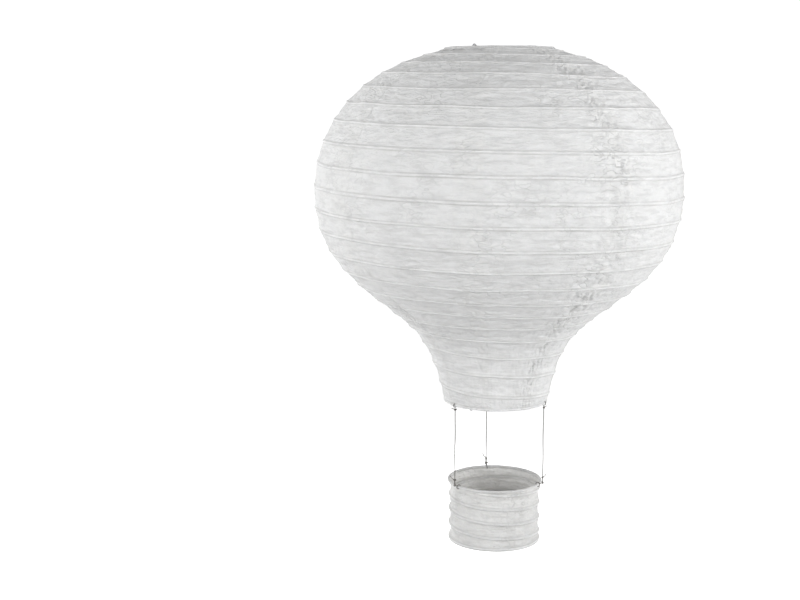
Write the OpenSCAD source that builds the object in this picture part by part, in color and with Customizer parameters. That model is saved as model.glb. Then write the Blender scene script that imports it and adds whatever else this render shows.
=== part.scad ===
// Hanging paper lantern in the shape of a hot-air balloon.
// Millimetres, +Z up. The origin is the point where a hook bears in the hanging eye.
// The front is -Y. Azimuths are degrees counter-clockwise from +X, seen from above.

/* [Balloon] */
// Widest diameter of the paper balloon
balloon_d = 300; // [270:5:330]
// Height from the top ring to the neck ring
balloon_h = 287; // [270:1:305]
// Diameter of the paper at the top ring and at the neck ring
mouth_d = 87; // [80:1:94]
// Number of paper gores round the balloon
gore_count = 8; // [8:1:8]
// Width of the glued lap between two gores, in degrees
lap_angle = 9; // [4:1:14]
// Turns of the spiral rib
rib_turns = 20.5; // [16:0.5:22]

/* [Wires] */
// Diameter of the spiral ribs' wire
rib_d = 1; // [0.8:0.1:1.4]
// Diameter of the ring wires
ring_d = 1.8; // [1.4:0.1:2]
// Diameter of the expander's sprung wire
frame_d = 2; // [1.6:0.1:2.2]

/* [Basket] */
// Gap between the neck ring and the basket's rim
basket_drop = 69.5; // [60:0.5:90]
// Outer diameter of the basket's paper wall
basket_d = 77; // [74:1:79]
// Height of the basket
basket_h = 50.5; // [44:0.5:60]
// Turns of the basket's spiral rib
basket_turns = 3.5; // [3:0.5:5]
// Diameter of the three threads
thread_d = 0.8; // [0.6:0.1:1]

/* [Hidden] */

$fn = 48;

// Colours
paper = [0.96, 0.95, 0.92];
thread = [0.93, 0.91, 0.86];
knot_thread = [0.62, 0.58, 0.5];
steel = [0.72, 0.73, 0.74];
rib_wire = [0.85, 0.84, 0.8];

// Heights of the rings. The top ring stands a little above the eye's bearing point.
top_z = 4;
neck_z = top_z - balloon_h;
rim_z = neck_z - basket_drop;
base_z = rim_z - basket_h;

// Paper: two layers where gores lap, with a hair of glue between them
sheet_t = 0.2;
glue_gap = 0.1;
mouth_r = mouth_d / 2;
ring_gap = 0.4;
ring_r = mouth_r - ring_gap - ring_d / 2;
first_lap = 262;
gore_step = 360 / gore_count;

// Meridian of the balloon as [radius, drop below the top ring].
// Three Bezier curves: the crown, the belly down to the waist, and the neck.
belt = [balloon_d / 2, 0.399 * balloon_h];
waist = [0.265 * balloon_d, 0.758 * balloon_h];
crown_fall = 12;
waist_lean = 50.5;
neck_lean = 13;
steps = 9;

function fall(angle) = [cos(angle), sin(angle)];
function lean(angle) = [sin(angle), -cos(angle)];
function bezier(p, t) =
    pow(1 - t, 3) * p[0] + 3 * pow(1 - t, 2) * t * p[1]
    + 3 * (1 - t) * t * t * p[2] + pow(t, 3) * p[3];
function bezier_slope(p, t) =
    3 * pow(1 - t, 2) * (p[1] - p[0]) + 6 * (1 - t) * t * (p[2] - p[1]) + 3 * t * t * (p[3] - p[2]);

top_point = [mouth_r, 0];
neck_point = [mouth_r, balloon_h];
crown_curve = [
    top_point, top_point + 0.223 * balloon_d * fall(crown_fall),
    belt - [0, 0.2125 * balloon_h], belt
];
belly_curve = [
    belt, belt + [0, 0.192 * balloon_h],
    waist + 0.13 * balloon_d * lean(waist_lean), waist
];
neck_curve = [
    waist, waist - 0.1 * balloon_d * lean(waist_lean),
    neck_point + 0.098 * balloon_h * lean(neck_lean), neck_point
];
curves = [crown_curve, belly_curve, neck_curve];

// A point on the meridian, moved out by a distance along the surface's normal
function meridian(curve, t, out) =
    let (p = bezier(curve, t), s = bezier_slope(curve, t))
    p + out * [s[1], -s[0]] / norm(s);
function side(out) = concat(
    [for (c = curves, i = [0 : steps - 1]) meridian(c, i / steps, out)],
    [meridian(neck_curve, 1, out)]
);

function reversed(list) = [for (i = [len(list) - 1 : -1 : 0]) list[i]];

// Length along the meridian, and the point at a given length
line = side(0);
function run(i) = i == 0 ? 0 : run(i - 1) + norm(line[i] - line[i - 1]);
runs = [for (i = [0 : len(line) - 1]) run(i)];
full_run = runs[len(runs) - 1];
function along(points, s) =
    let (i = max([for (k = [0 : len(runs) - 2]) runs[k] <= s ? k : 0]))
    points[i] + (points[i + 1] - points[i]) * (s - runs[i]) / (runs[i + 1] - runs[i]);

// Where the spiral rib starts, how far it stays off the rings, and its sides
rib_start = 255;
rib_end_gap = 3;
rib_depth = sheet_t + 0.15 + rib_d / 2;
turn_sides = 24;

// Expander frame: its plane, the eye, the arms and the legs
frame_azimuth = 240;
eye_r = 5;
weld_bite = 0.4 * frame_d;
arm_drop = top_z + 2 * eye_r + 1.5 * frame_d - weld_bite;
arm_reach = 34;
leg_offset = 12;
leg_overrun = 3;
leg_bite = 0.1;
hook_r = ring_d / 2 + frame_d / 2 + 0.07;
tip_reach = 3;
bead_swell = 1.04;

// Threads: their azimuths, the radius they hang at, and the knots they turn in
thread_azimuths = [340, 220, 100];
thread_r = 42.4;
knot_r = 1.2;
knot_gap = 0.3;
top_knot_drop = 3.4;
rim_knot_rise = 4;
loop_r = ring_d / 2 + thread_d / 2 + 0.1;
notch_r = loop_r + thread_d / 2 + 0.2;
notch_depth = 16;

// Basket
wall_t = 0.4;
wall_r = basket_d / 2;
rim_r = wall_r - 0.1;
basket_rib_depth = wall_t + 0.15 + rib_d / 2;
base_ring_r = wall_r - wall_t - 0.4 - ring_d / 2;
floor_t = 0.5;
floor_r = wall_r - wall_t - 0.5;
seat_gap = 0.1;
basket_rib_start = 250;

// A torus of wire round the Z axis
module ring(r, d, z) {
    translate([0, 0, z])
        rotate_extrude($fn = 96)
            translate([r, 0]) circle(d = d, $fn = 24);
}

// A straight rod between two points
module rod(from, to, d) {
    v = to - from;
    translate(from)
        rotate([0, acos(v[2] / norm(v)), atan2(v[1], v[0])])
            cylinder(d = d, h = norm(v), $fn = 24);
}

// A bead that closes a corner or a join of wire, given as [across, height]
module bead(at, d) {
    translate([at[0], 0, at[1]]) sphere(d = bead_swell * d, $fn = 24);
}

// A bend of wire in the same plane, from one angle through a sweep
module bend(centre, r, from, sweep, d) {
    translate([centre[0], 0, centre[1]])
        rotate([90, -from, 0])
            rotate_extrude(angle = sweep, $fn = 48)
                translate([r, 0]) circle(d = d, $fn = 24);
}

// A wire spiral: centres is a list of points, each with its outward direction
module spiral(centres, azimuths, r) {
    n = len(centres);
    corners = [[r, 0], [0, r], [-r, 0], [0, -r]];
    points = [
        for (i = [0 : n - 1], c = corners)
            let (a = azimuths[i], p = centres[i] + c)
            [p[0] * cos(a), p[0] * sin(a), p[1]]
    ];
    walls = [
        for (i = [0 : n - 2], k = [0 : 3])
            let (next = (k + 1) % 4)
            [4 * i + k, 4 * i + next, 4 * i + 4 + next, 4 * i + 4 + k]
    ];
    caps = [[3, 2, 1, 0], [for (k = [0 : 3]) 4 * (n - 1) + k]];
    polyhedron(points, concat(walls, caps), convexity = 10);
}

module top_ring() { color(steel) ring(ring_r, ring_d, top_z); }
module neck_ring() { color(steel) ring(ring_r, ring_d, neck_z); }

// The rib follows the meridian at an even pitch along the paper
module rib_spiral() {
    count = rib_turns * turn_sides;
    inner = side(-rib_depth);
    lengths = [for (i = [0 : count]) rib_end_gap + (full_run - 2 * rib_end_gap) * i / count];
    centres = [for (s = lengths) let (p = along(inner, s)) [p[0], top_z - p[1]]];
    azimuths = [for (i = [0 : count]) rib_start + 360 * i / turn_sides];
    color(rib_wire) spiral(centres, azimuths, rib_d / 2);
}

// Even gores lie inside, odd gores outside, and each laps both its neighbours
module gore(index) {
    lift = index % 2 == 0 ? 0 : sheet_t + glue_gap;
    outline = concat(side(lift), reversed(side(lift - sheet_t)));
    color(paper) difference() {
        translate([0, 0, top_z])
            rotate([0, 0, first_lap - lap_angle / 2 + (index - 1) * gore_step])
                rotate_extrude(angle = gore_step + lap_angle, $fn = 96)
                    polygon([for (p = outline) [p[0], -p[1]]]);
        thread_notches(neck_z);
    }
}

// Small notches in a paper edge where the three loops pass
module thread_notches(z) {
    for (a = thread_azimuths)
        rotate([0, 0, a])
            translate([wall_r - notch_depth / 2, 0, z])
                rotate([0, 90, 0]) cylinder(r = notch_r, h = notch_depth, $fn = 24);
}

// The end of an arm: up, over an inner shoulder, then round under the ring to its tip
module arm_end(tip) {
    shoulder = [ring_r - 2 * hook_r, 0];
    corner = [arm_reach, -arm_drop];
    rise = [shoulder[0] - hook_r, 0];
    under = [ring_r, -hook_r];
    bead(corner, frame_d);
    rod([corner[0], 0, corner[1]], [rise[0], 0, rise[1]], frame_d);
    bead(rise, frame_d);
    bend(shoulder, hook_r, 0, 180, frame_d);
    bead([ring_r - hook_r, 0], frame_d);
    bend([ring_r, 0], hook_r, 180, 90, frame_d);
    bead(under, frame_d);
    if (tip > 0) {
        rod([under[0], 0, under[1]], [under[0] + tip, 0, under[1]], frame_d);
        bead(under + [tip, 0], frame_d);
    }
}

// A bridge: one bar across the ring with an arm end on either side
module bridge(tip) {
    rod([-arm_reach, 0, -arm_drop], [arm_reach, 0, -arm_drop], frame_d);
    for (m = [0, 1]) mirror([m, 0, 0]) arm_end(tip);
}

// The bridge across the top ring, with the hanging eye welded on its middle
module hanging_bridge() {
    color(steel) rotate([0, 0, frame_azimuth]) {
        translate([0, 0, top_z]) bridge(tip_reach);
        translate([0, 0, -eye_r])
            rotate([90, 0, 0])
                rotate_extrude($fn = 48)
                    translate([eye_r + frame_d / 2, 0]) circle(d = frame_d, $fn = 24);
    }
}

// The bridge across the neck ring is the same shape turned over, without eye or tips
module foot_bridge() {
    color(steel) rotate([0, 0, frame_azimuth])
        translate([0, 0, neck_z])
            mirror([0, 0, 1]) bridge(0);
}

// A leg is welded to the side of both bridges
module expander_leg(side_sign) {
    low = neck_z + arm_drop - leg_overrun;
    high = top_z - arm_drop + leg_overrun;
    color(steel) rotate([0, 0, frame_azimuth])
        translate([side_sign * leg_offset, side_sign * (frame_d - leg_bite), low])
            cylinder(d = frame_d, h = high - low, $fn = 24);
}

// A loop of thread round a ring's wire
module thread_loop(index, r, z) {
    rotate([0, 0, thread_azimuths[index - 1]])
        translate([r, 0, z])
            rotate([90, 0, 0])
                rotate_extrude($fn = 32)
                    translate([loop_r, 0]) circle(d = thread_d, $fn = 16);
}

module top_loop(index) { color(thread) thread_loop(index, ring_r, neck_z); }

// The rim loop leans out to its knot on two strands that lie side by side
module rim_loop(index) {
    foot = [rim_r + 1, 0, rim_z + loop_r - 0.3];
    head = [thread_r - 0.65, 0, rim_z + rim_knot_rise - knot_r - knot_gap];
    color(thread) {
        thread_loop(index, rim_r, rim_z);
        rotate([0, 0, thread_azimuths[index - 1]])
            for (y = [-0.3, 0.3] * thread_d) rod(foot + [0, y, 0], head + [0, y, 0], thread_d);
    }
}

module knot(index, z) {
    color(knot_thread)
        rotate([0, 0, thread_azimuths[index - 1]])
            translate([thread_r, 0, z]) sphere(r = knot_r, $fn = 32);
}

module top_knot(index) { knot(index, neck_z - top_knot_drop); }
module rim_knot(index) { knot(index, rim_z + rim_knot_rise); }

// A thread hangs between its two knots and is clear of both
module string(index) {
    low = rim_z + rim_knot_rise + knot_r + knot_gap;
    high = neck_z - top_knot_drop - knot_r - knot_gap;
    color(thread)
        rotate([0, 0, thread_azimuths[index - 1]])
            translate([thread_r, 0, low]) cylinder(d = thread_d, h = high - low, $fn = 16);
}

module basket_rim() { color(paper) ring(rim_r, ring_d, rim_z); }

module basket_wall() {
    top_edge = rim_z - ring_d / 2 - seat_gap;
    color(paper) difference() {
        translate([0, 0, base_z]) cylinder(r = wall_r, h = top_edge - base_z, $fn = 96);
        translate([0, 0, base_z - 1]) cylinder(r = wall_r - wall_t, h = basket_h + 2, $fn = 96);
        thread_notches(rim_z);
    }
}

module basket_spiral() {
    count = basket_turns * turn_sides;
    low = base_z + floor_t + seat_gap + ring_d + 3;
    high = rim_z - 2.4;
    centres = [for (i = [0 : count]) [wall_r - basket_rib_depth, high + (low - high) * i / count]];
    azimuths = [for (i = [0 : count]) basket_rib_start + 360 * i / turn_sides];
    color(rib_wire) spiral(centres, azimuths, rib_d / 2);
}

module basket_base_ring() { color(steel) ring(base_ring_r, ring_d, base_z + floor_t + seat_gap + ring_d / 2); }

module basket_floor() {
    color(paper) translate([0, 0, base_z]) cylinder(r = floor_r, h = floor_t, $fn = 96);
}

top_ring();
neck_ring();
rib_spiral();
gore(1);  // gore_1
gore(2);  // gore_2
gore(3);  // gore_3
gore(4);  // gore_4
gore(5);  // gore_5
gore(6);  // gore_6
gore(7);  // gore_7
gore(8);  // gore_8
hanging_bridge();
foot_bridge();
expander_leg(1);  // expander_leg_a
expander_leg(-1);  // expander_leg_b
top_loop(1);  // top_loop_1
top_loop(2);  // top_loop_2
top_loop(3);  // top_loop_3
top_knot(1);  // top_knot_1
top_knot(2);  // top_knot_2
top_knot(3);  // top_knot_3
string(1);  // string_1
string(2);  // string_2
string(3);  // string_3
rim_knot(1);  // rim_knot_1
rim_knot(2);  // rim_knot_2
rim_knot(3);  // rim_knot_3
rim_loop(1);  // rim_loop_1
rim_loop(2);  // rim_loop_2
rim_loop(3);  // rim_loop_3
basket_rim();
basket_spiral();
basket_wall();
basket_base_ring();
basket_floor();
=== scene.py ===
"""Looks of a hanging paper lantern shaped like a hot-air balloon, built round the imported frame.

Lengths inside the script are in millimetres, and to_mesh() turns them into metres.
Azimuths are degrees counter-clockwise from +X, seen from above, and the front is -Y.
"""

import math

import bpy
import numpy as np
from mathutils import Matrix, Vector


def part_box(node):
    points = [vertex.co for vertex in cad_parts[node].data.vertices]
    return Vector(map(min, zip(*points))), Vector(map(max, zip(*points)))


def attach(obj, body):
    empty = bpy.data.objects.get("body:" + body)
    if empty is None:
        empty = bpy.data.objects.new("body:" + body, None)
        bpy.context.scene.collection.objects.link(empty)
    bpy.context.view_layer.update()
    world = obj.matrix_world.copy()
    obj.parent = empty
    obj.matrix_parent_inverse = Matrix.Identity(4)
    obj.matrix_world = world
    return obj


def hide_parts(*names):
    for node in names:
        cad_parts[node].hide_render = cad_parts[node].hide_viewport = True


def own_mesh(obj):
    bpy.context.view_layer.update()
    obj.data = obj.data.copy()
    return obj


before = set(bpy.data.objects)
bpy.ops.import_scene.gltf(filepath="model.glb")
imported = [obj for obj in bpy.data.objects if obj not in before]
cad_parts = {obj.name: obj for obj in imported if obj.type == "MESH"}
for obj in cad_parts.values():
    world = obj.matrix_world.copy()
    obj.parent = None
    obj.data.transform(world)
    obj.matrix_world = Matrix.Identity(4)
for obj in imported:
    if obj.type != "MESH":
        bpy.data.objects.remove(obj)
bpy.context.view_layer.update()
MM = 0.001


# ---------------- sizes from the frame

def node_box(name):
    """Lowest and highest corner of a CAD node, in millimetres."""
    low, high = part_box(name)
    return np.array(low) / MM, np.array(high) / MM


def ring_of(name):
    """Centreline radius, wire radius and height of a ring node."""
    low, high = node_box(name)
    wire = (high[2] - low[2]) / 2
    return high[0] - wire, wire, (high[2] + low[2]) / 2


RING_R, RING_WIRE, TOP_Z = ring_of("top_ring")
_, _, NECK_Z = ring_of("neck_ring")
RIM_R, _, RIM_Z = ring_of("basket_rim")
_, _, BASE_RING_Z = ring_of("basket_base_ring")
BASE_Z = node_box("basket_floor")[0][2]
FLOOR_R = node_box("basket_floor")[1][0]
WALL_R = node_box("basket_wall")[1][0]
LAP_LIFT_CAD = 0.3
BALLOON_R = max(node_box("gore_%d" % i)[1][0] for i in range(1, 9)) - LAP_LIFT_CAD
BALLOON_H = TOP_Z - NECK_Z
MOUTH_R = RING_R + RING_WIRE + 0.4

# Gores, their laps and the spiral rib
GORES = 8
FIRST_LAP = 262.0
LAP = 9.0
CRUMPLED_LAP = 306.0
STEP = 360.0 / GORES
RIB_START = 255.0
RIB_TURNS = 20.5
RIB_END_GAP = 3.0
RIB_WIRE = 0.5

# Expander frame, as bent from 2 mm wire
FRAME_AZIMUTH = 240.0
FRAME_WIRE = 1.0
EYE_R = 6.0
EYE_Z = -5.0
ARM_DROP = 16.2
ARM_REACH = 34.0
LEG_OFFSET = 12.0
LEG_OVERRUN = 3.0
HOOK_R = RING_WIRE + FRAME_WIRE + 0.07
TIP_REACH = 3.0

# Threads, each of two plies
THREAD_AZIMUTHS = (340.0, 220.0, 100.0)
THREAD_R = 42.4
THREAD_WIRE = 0.4
PLY_OFF = 0.47
PLY_WIRE = 0.53
TOP_PIVOT_Z = NECK_Z - 3.4
RIM_PIVOT_Z = RIM_Z + 4.0

# Basket
BASKET_TURNS = 3.5
BASKET_RIB_START = 250.0
BASKET_RIB_HIGH = RIM_Z - 2.4
BASKET_RIB_LOW = BASE_Z + 5.4

# Paper: its thickness, its rise at a lap, its clearance over a wire or ring, and its dip between ribs
SHEET = 0.15
LAP_LIFT = 0.18
OVER_WIRE = 0.06
OVER_RING = 0.05
RIDGE = 0.62
SAG = 0.62
# Hems: degrees round the ring's wire, then how far the glued flap runs on, row by row
HEM_SWEEP = 178.0
HEM_FLAP = (1.5, 3.0, 4.6, 6.0)


# ---------------- camera

def make_camera():
    """Looks at the lantern from its front, a little below the top ring's height."""
    data = bpy.data.cameras.new("camera")
    data.lens = 60.6
    data.sensor_width = 36.0
    data.clip_end = 50.0
    camera = bpy.data.objects.new("camera", data)
    camera.location = (0.0, -1.1, TOP_Z * MM - 0.033)
    camera.rotation_euler = (math.radians(90.0 - 8.86), 0.0, math.radians(4.14))
    bpy.context.scene.collection.objects.link(camera)
    bpy.context.scene.camera = camera


make_camera()


# ---------------- numbers and meshes

def smooth(x):
    """0 to 1 with flat ends."""
    x = np.clip(x, 0.0, 1.0)
    return x * x * (3.0 - 2.0 * x)


def hashed(ix, iy, seed):
    """A repeatable value from 0 to 1 for each whole-number cell."""
    h = (ix * 374761393 + iy * 668265263 + seed * 974634777) & 0xFFFFFFFF
    h = ((h ^ (h >> 13)) * 1274126177) & 0xFFFFFFFF
    return ((h ^ (h >> 16)) & 0xFFFF) / 65535.0


def noise(u, v, around, seed):
    """Gradient noise, about -1 to 1. It repeats after `around` cells of u."""
    iu, iv = np.floor(u).astype(np.int64), np.floor(v).astype(np.int64)
    fu, fv = u - iu, v - iv
    total = 0.0
    for du in (0, 1):
        for dv in (0, 1):
            turn = 2 * math.pi * hashed((iu + du) % around, iv + dv, seed)
            slope = np.cos(turn) * (fu - du) + np.sin(turn) * (fv - dv)
            wu = 1 - np.abs(fu - du)
            wv = 1 - np.abs(fv - dv)
            total = total + slope * smooth(wu) * smooth(wv)
    return 1.5 * total


def ripple(azimuth, s, cells, length, seed, drift=0.0):
    """Noise over a round sheet, with this many cells around it and one for each length down it."""
    return noise(azimuth / 360.0 * cells, s / length + drift, cells, seed)


def creased(azimuth, s, cells, length, seed):
    """Sharp folds between soft dents, 0 to 1, as in paper that was crushed once."""
    u, v = azimuth / 360.0 * cells, s / length
    bend = 0.35 * noise(u, v, cells, seed + 7)
    first = np.abs(noise(u + bend, v + bend, cells, seed))
    second = np.abs(noise(2 * u, 2 * v + bend, 2 * cells, seed + 1))
    return 1.0 - np.clip(first * 1.6 + 0.5 * second, 0.0, 1.0)


def degrees_off(azimuth, place):
    """Degrees from a place, between -180 and 180."""
    return (azimuth - place + 180.0) % 360.0 - 180.0


def around_z(radius, azimuth, z):
    """Points at these radii, azimuths in degrees and heights."""
    a = np.radians(azimuth)
    return np.stack([radius * np.cos(a), radius * np.sin(a), z + 0 * a], axis=-1)


def add_piece(name, mesh, material):
    """An object of this mesh and material, linked into the scene."""
    mesh.materials.append(material)
    piece = bpy.data.objects.new(name, mesh)
    bpy.context.scene.collection.objects.link(piece)
    return piece


def stand_for(piece, body, node):
    """Tie a piece to its body, and hide the CAD node it is shown in place of."""
    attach(piece, body)
    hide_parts(node)


def to_mesh(name, points, faces, material, marks=None):
    """A smooth-shaded mesh object from points in millimetres. marks are named values of each point."""
    mesh = bpy.data.meshes.new(name)
    mesh.from_pydata((np.asarray(points, float) * MM).tolist(), [], np.asarray(faces).tolist())
    mesh.validate()
    mesh.polygons.foreach_set("use_smooth", [True] * len(mesh.polygons))
    for key, values in (marks or {}).items():
        attribute = mesh.attributes.new(key, "FLOAT", "POINT")
        attribute.data.foreach_set("value", np.asarray(values, np.float32).ravel())
    return add_piece(name, mesh, material)


def thin_sheet(name, outer, inner, material, marks, closed_round=False):
    """A closed sheet from two grids of points, (rows, columns, 3). closed_round joins its side edges."""
    rows, columns = outer.shape[:2]
    index = np.arange(rows * columns).reshape(rows, columns)
    if closed_round:
        index = np.concatenate([index, index[:, :1]], axis=1)
    second = index + rows * columns

    def strip(a, b, c, d):
        return np.stack([a.ravel(), b.ravel(), c.ravel(), d.ravel()], axis=1)

    faces = [
        strip(index[:-1, :-1], index[1:, :-1], index[1:, 1:], index[:-1, 1:]),
        strip(second[:-1, :-1], second[:-1, 1:], second[1:, 1:], second[1:, :-1]),
        strip(index[0, :-1], index[0, 1:], second[0, 1:], second[0, :-1]),
        strip(index[-1, :-1], second[-1, :-1], second[-1, 1:], index[-1, 1:]),
    ]
    if not closed_round:
        faces.append(strip(index[:-1, 0], second[:-1, 0], second[1:, 0], index[1:, 0]))
        faces.append(strip(index[:-1, -1], index[1:, -1], second[1:, -1], second[:-1, -1]))
    points = np.concatenate([outer.reshape(-1, 3), inner.reshape(-1, 3)])
    both = {key: np.concatenate([v.ravel(), v.ravel()]) for key, v in marks.items()}
    piece = to_mesh(name, points, np.concatenate(faces), material, both)
    piece.data.set_sharp_from_angle(angle=math.radians(65.0))
    return piece


def across_path(path, closed=False):
    """Two directions across a path at each of its points, which don't twist along it."""
    if closed:
        ahead, behind = np.roll(path, -1, axis=0), np.roll(path, 1, axis=0)
    else:
        ahead = np.concatenate([path[1:], 2 * path[-1:] - path[-2:-1]])
        behind = np.concatenate([2 * path[:1] - path[1:2], path[:-1]])
    tangents = ahead - behind
    tangents /= np.linalg.norm(tangents, axis=1)[:, None]
    normal = np.array([0.0, 0.0, 1.0]) if abs(tangents[0][2]) < 0.9 else np.array([1.0, 0.0, 0.0])
    normals = []
    for tangent in tangents:
        normal = normal - tangent * (normal @ tangent)
        normal /= np.linalg.norm(normal)
        normals.append(normal)
    normals = np.array(normals)
    return normals, np.cross(tangents, normals)


def tube_grid(path, radius, sides, closed):
    """Rings of points round a path. radius is one number, or one for each point."""
    path = np.asarray(path, float)
    normals, others = across_path(path, closed)
    radius = np.broadcast_to(np.asarray(radius, float), len(path))
    turn = 2 * math.pi * np.arange(sides) / sides
    cosine, sine = np.cos(turn)[None, :, None], np.sin(turn)[None, :, None]
    across = normals[:, None, :] * cosine + others[:, None, :] * sine
    return path[:, None, :] + radius[:, None, None] * across


def tube_faces(rows, sides, closed, offset):
    """Faces of a tube whose rings follow each other, with flat ends unless it is closed."""
    index = np.arange(rows * sides).reshape(rows, sides) + offset
    if closed:
        index = np.concatenate([index, index[:1]])
    wide = np.concatenate([index, index[:, :1]], axis=1)
    faces = np.stack(
        [wide[:-1, :-1].ravel(), wide[:-1, 1:].ravel(), wide[1:, 1:].ravel(), wide[1:, :-1].ravel()], axis=1
    ).tolist()
    if not closed:
        faces.append(index[0][::-1].tolist())
        faces.append(index[-1].tolist())
    return faces


def tubes(name, parts, material):
    """One mesh of several tubes. A part is (path, radius, sides, closed)."""
    points, faces = [], []
    for path, radius, sides, closed in parts:
        grid = tube_grid(path, radius, sides, closed)
        faces += tube_faces(len(grid), sides, closed, sum(len(p) for p in points))
        points.append(grid.reshape(-1, 3))
    mesh = bpy.data.meshes.new(name)
    mesh.from_pydata((np.concatenate(points) * MM).tolist(), [], faces)
    mesh.polygons.foreach_set("use_smooth", [len(f) == 4 for f in faces])
    return add_piece(name, mesh, material)


# ---------------- materials

class Nodes:
    """Short ways to build a node tree."""

    def __init__(self, name):
        self.material = bpy.data.materials.new(name)
        self.material.use_nodes = True
        self.tree = self.material.node_tree
        self.shader = self.tree.nodes["Principled BSDF"]

    def add(self, kind, **values):
        node = self.tree.nodes.new(kind)
        for key, value in values.items():
            setattr(node, key, value)
        return node

    def link(self, source, target):
        self.tree.links.new(source, target)

    def place(self, scale=(1.0, 1.0, 1.0)):
        coordinates = self.add("ShaderNodeTexCoord")
        mapping = self.add("ShaderNodeMapping")
        mapping.inputs["Scale"].default_value = scale
        self.link(coordinates.outputs["Object"], mapping.inputs["Vector"])
        return mapping.outputs["Vector"]

    def noise(self, scale, detail=4.0, roughness=0.55, stretch=(1.0, 1.0, 1.0), distortion=0.0):
        node = self.add("ShaderNodeTexNoise")
        node.inputs["Scale"].default_value = scale
        node.inputs["Detail"].default_value = detail
        node.inputs["Roughness"].default_value = roughness
        node.inputs["Distortion"].default_value = distortion
        self.link(self.place(stretch), node.inputs["Vector"])
        return node.outputs["Fac"]

    def remap(self, value, low, high, to_low=0.0, to_high=1.0):
        node = self.add("ShaderNodeMapRange")
        node.inputs["From Min"].default_value = low
        node.inputs["From Max"].default_value = high
        node.inputs["To Min"].default_value = to_low
        node.inputs["To Max"].default_value = to_high
        self.link(value, node.inputs["Value"])
        return node.outputs["Result"]

    def math(self, operation, a, b):
        node = self.add("ShaderNodeMath", operation=operation)
        for socket, value in ((node.inputs[0], a), (node.inputs[1], b)):
            if isinstance(value, (int, float)):
                socket.default_value = value
            else:
                self.link(value, socket)
        return node.outputs["Value"]

    def mix(self, factor, a, b):
        node = self.add("ShaderNodeMix", data_type="RGBA")
        self.link(factor, node.inputs["Factor"])
        for socket, value in ((node.inputs[6], a), (node.inputs[7], b)):
            if isinstance(value, tuple):
                socket.default_value = (*value, 1.0)
            else:
                self.link(value, socket)
        return node.outputs[2]

    def mark(self, name):
        node = self.add("ShaderNodeAttribute")
        node.attribute_name = name
        return node.outputs["Fac"]

    def bump(self, height, distance, strength=1.0, before=None):
        node = self.add("ShaderNodeBump")
        node.inputs["Distance"].default_value = distance
        node.inputs["Strength"].default_value = strength
        self.link(height, node.inputs["Height"])
        if before is not None:
            self.link(before, node.inputs["Normal"])
        return node.outputs["Normal"]


def fibre_lines(n, scale, width, seed, stretch):
    """Long curling fibres: the thin lines where a smooth noise crosses its middle."""
    node = n.add("ShaderNodeTexNoise", noise_dimensions="4D")
    node.inputs["W"].default_value = seed
    node.inputs["Scale"].default_value = scale
    node.inputs["Detail"].default_value = 1.0
    node.inputs["Distortion"].default_value = 0.6
    n.link(n.place(stretch), node.inputs["Vector"])
    off = n.math("ABSOLUTE", n.math("SUBTRACT", node.outputs["Fac"], 0.5), 0.0)
    return n.remap(off, width * 0.3, width, 1.0, 0.0)


def crinkles(n):
    """Level streaks where the paper was drawn tight, and patches of sharp little creases."""
    streaks = n.noise(62.0, 4.0, 0.62, (1.0, 1.0, 4.6), 0.25)
    curls = n.noise(120.0, 1.5, 0.5, (1.0, 1.0, 1.9), 0.2)
    creases = n.remap(n.math("ABSOLUTE", n.math("SUBTRACT", curls, 0.5), 0.0), 0.0, 0.05, 1.0, 0.0)
    where = n.remap(n.noise(30.0, 2.0, 0.5), 0.46, 0.68, 0.0, 0.6)
    return streaks, n.math("MULTIPLY", creases, n.math("ADD", where, n.mark("crush")))


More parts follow.
